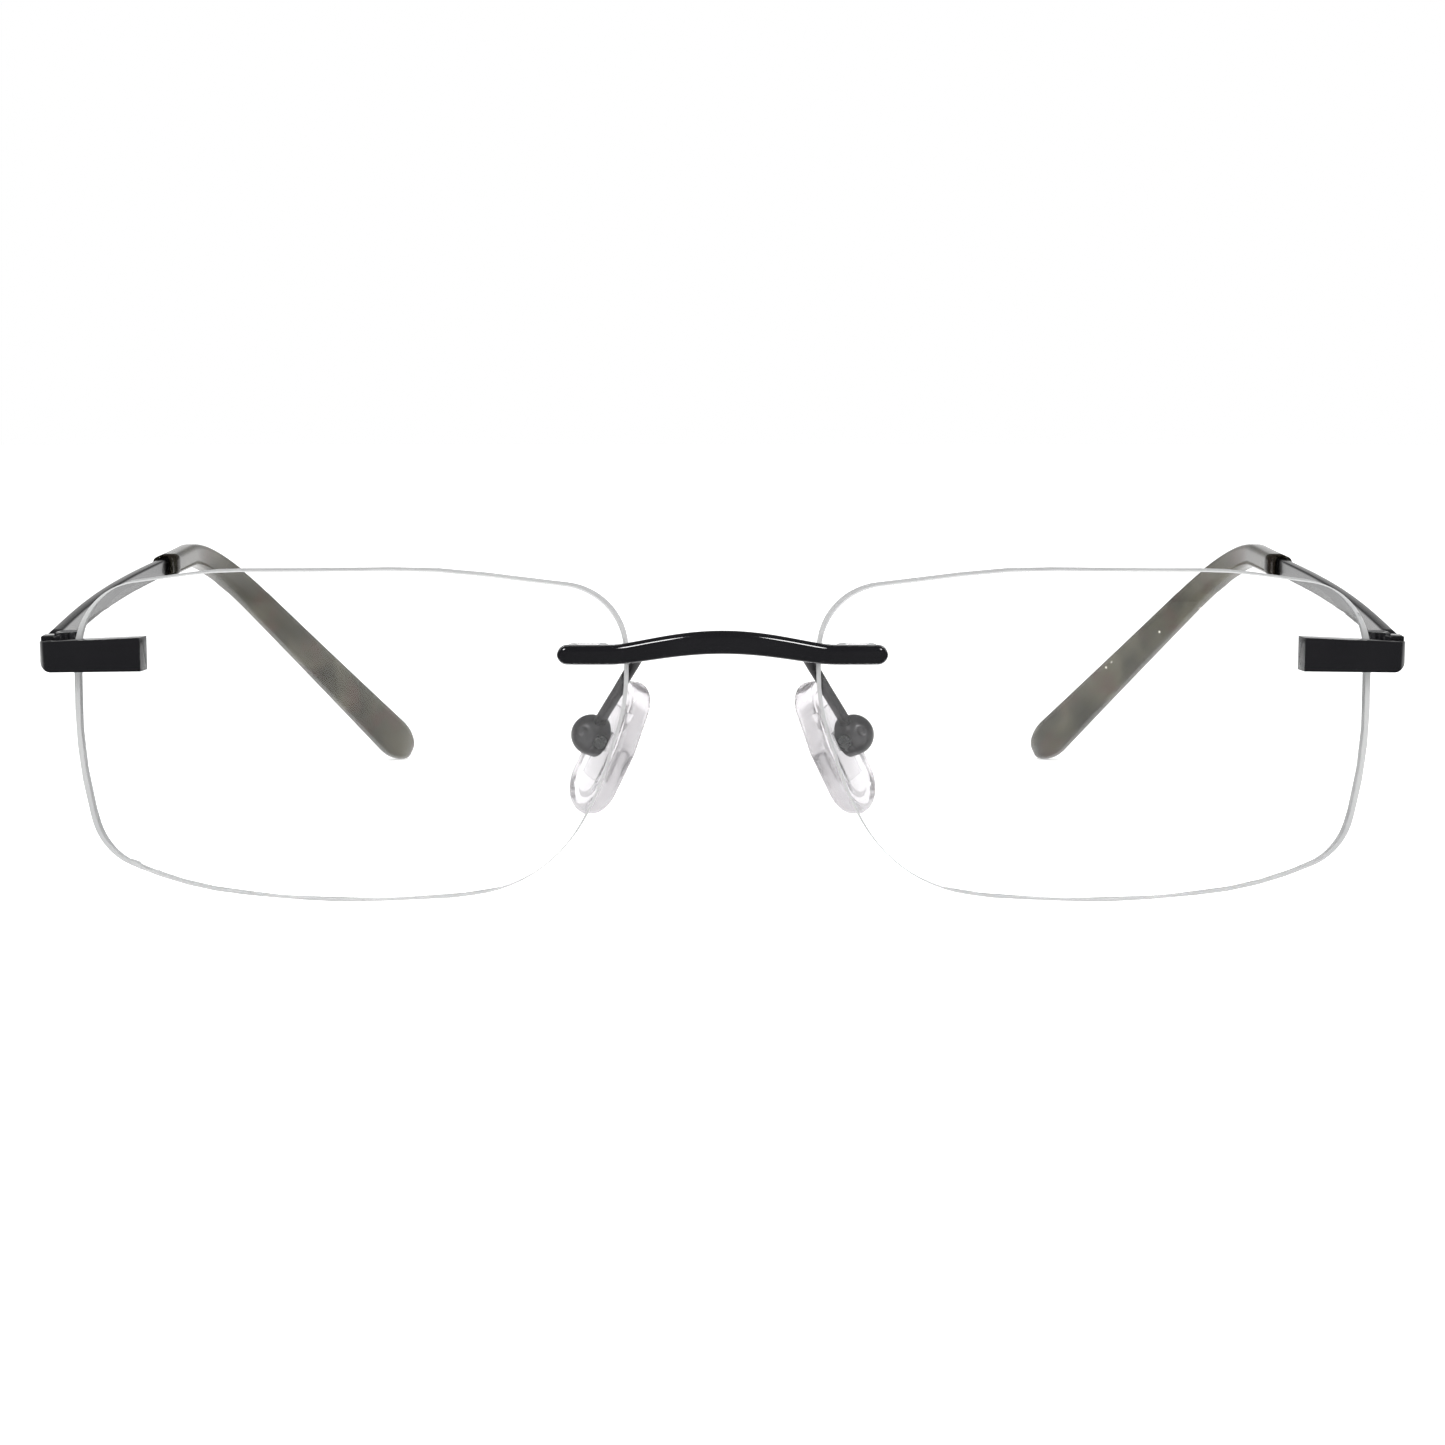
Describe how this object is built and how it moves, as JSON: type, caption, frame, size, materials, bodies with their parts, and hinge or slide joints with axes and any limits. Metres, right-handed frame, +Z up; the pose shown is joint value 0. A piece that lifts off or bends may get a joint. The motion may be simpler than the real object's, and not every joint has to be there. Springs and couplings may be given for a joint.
{
  "type": "rimless eyeglasses",
  "caption": "Rimless eyeglasses: bare clear lenses on an arched bridge bar and end pieces, folding temples with translucent tips, rocking nose pads.",
  "frame": {"origin": "on the resting surface, under the middle of the whole object with its temples open", "axes": "+Z up from the resting surface, +Y from the front towards the temple tips, +X to the wearer's left; the frame stands on its lens bottoms and temple tips"},
  "size_m": [0.134, 0.1378, 0.0323],
  "materials": {
    "lens_plastic": "clear optical resin, polished faces and edge",
    "clear_plug": "clear moulded plastic",
    "black_lacquer": "gloss black lacquer on nickel silver",
    "arm_lacquer": "semi-gloss black lacquer on nickel silver",
    "dark_plating": "dark gunmetal plating",
    "hinge_metal": "gloss black lacquer on hinge stock",
    "screw_steel": "turned stainless steel",
    "bare_nickel_silver": "bare nickel silver",
    "smoked_tip": "translucent olive-grey acetate",
    "lug_plastic": "clear moulded polycarbonate",
    "clear_silicone": "clear silicone"
  },
  "bodies": {
    "front": {"bridge_bar": "black_lacquer", "bridge_pins": "bare_nickel_silver", "lens_right": "lens_plastic", "lens_left": "lens_plastic", "bridge_plug_right": "clear_plug", "bridge_plug_left": "clear_plug", "end_piece_right": "black_lacquer", "end_piece_left": "black_lacquer", "end_pins_right": "bare_nickel_silver", "end_pins_left": "bare_nickel_silver", "end_plug_right": "clear_plug", "end_plug_left": "clear_plug", "hinge_front_leaf_right": "hinge_metal", "hinge_front_leaf_left": "hinge_metal", "hinge_screw_right": "screw_steel", "hinge_screw_left": "screw_steel", "pad_arm_right": "dark_plating", "pad_arm_left": "dark_plating", "pad_box_right": "dark_plating", "pad_box_left": "dark_plating", "pad_screw_right": "screw_steel", "pad_screw_left": "screw_steel"},
    "temple_right": {"hinge_temple_leaf_right": "hinge_metal", "temple_arm_right": "arm_lacquer", "temple_tip_right": "smoked_tip"},
    "pad_right": {"pad_lug_right": "lug_plastic", "nose_pad_right": "clear_silicone"},
    "temple_left": {"hinge_temple_leaf_left": "hinge_metal", "temple_arm_left": "arm_lacquer", "temple_tip_left": "smoked_tip"},
    "pad_left": {"pad_lug_left": "lug_plastic", "nose_pad_left": "clear_silicone"}
  },
  "joints": [
    {"name": "temple_right_fold", "type": "hinge", "parent": "front", "child": "temple_right", "pos_m": [-0.0639, -0.05546, 0.0241], "axis": [0, 0.0732, -0.9973], "range_deg": [0, 72]},
    {"name": "temple_left_fold", "type": "hinge", "parent": "front", "child": "temple_left", "pos_m": [0.0639, -0.05546, 0.0241], "axis": [0, -0.0732, 0.9973], "range_deg": [0, 82]},
    {"name": "pad_right_rock", "type": "hinge", "parent": "front", "child": "pad_right", "pos_m": [-0.01282, -0.05654, 0.01569], "axis": [-0.4532, 0.8482, 0.2742], "range_deg": [-8, 8]},
    {"name": "pad_left_rock", "type": "hinge", "parent": "front", "child": "pad_left", "pos_m": [0.01282, -0.05654, 0.01569], "axis": [0.4532, 0.8482, 0.2742], "range_deg": [-8, 8]}
  ]
}
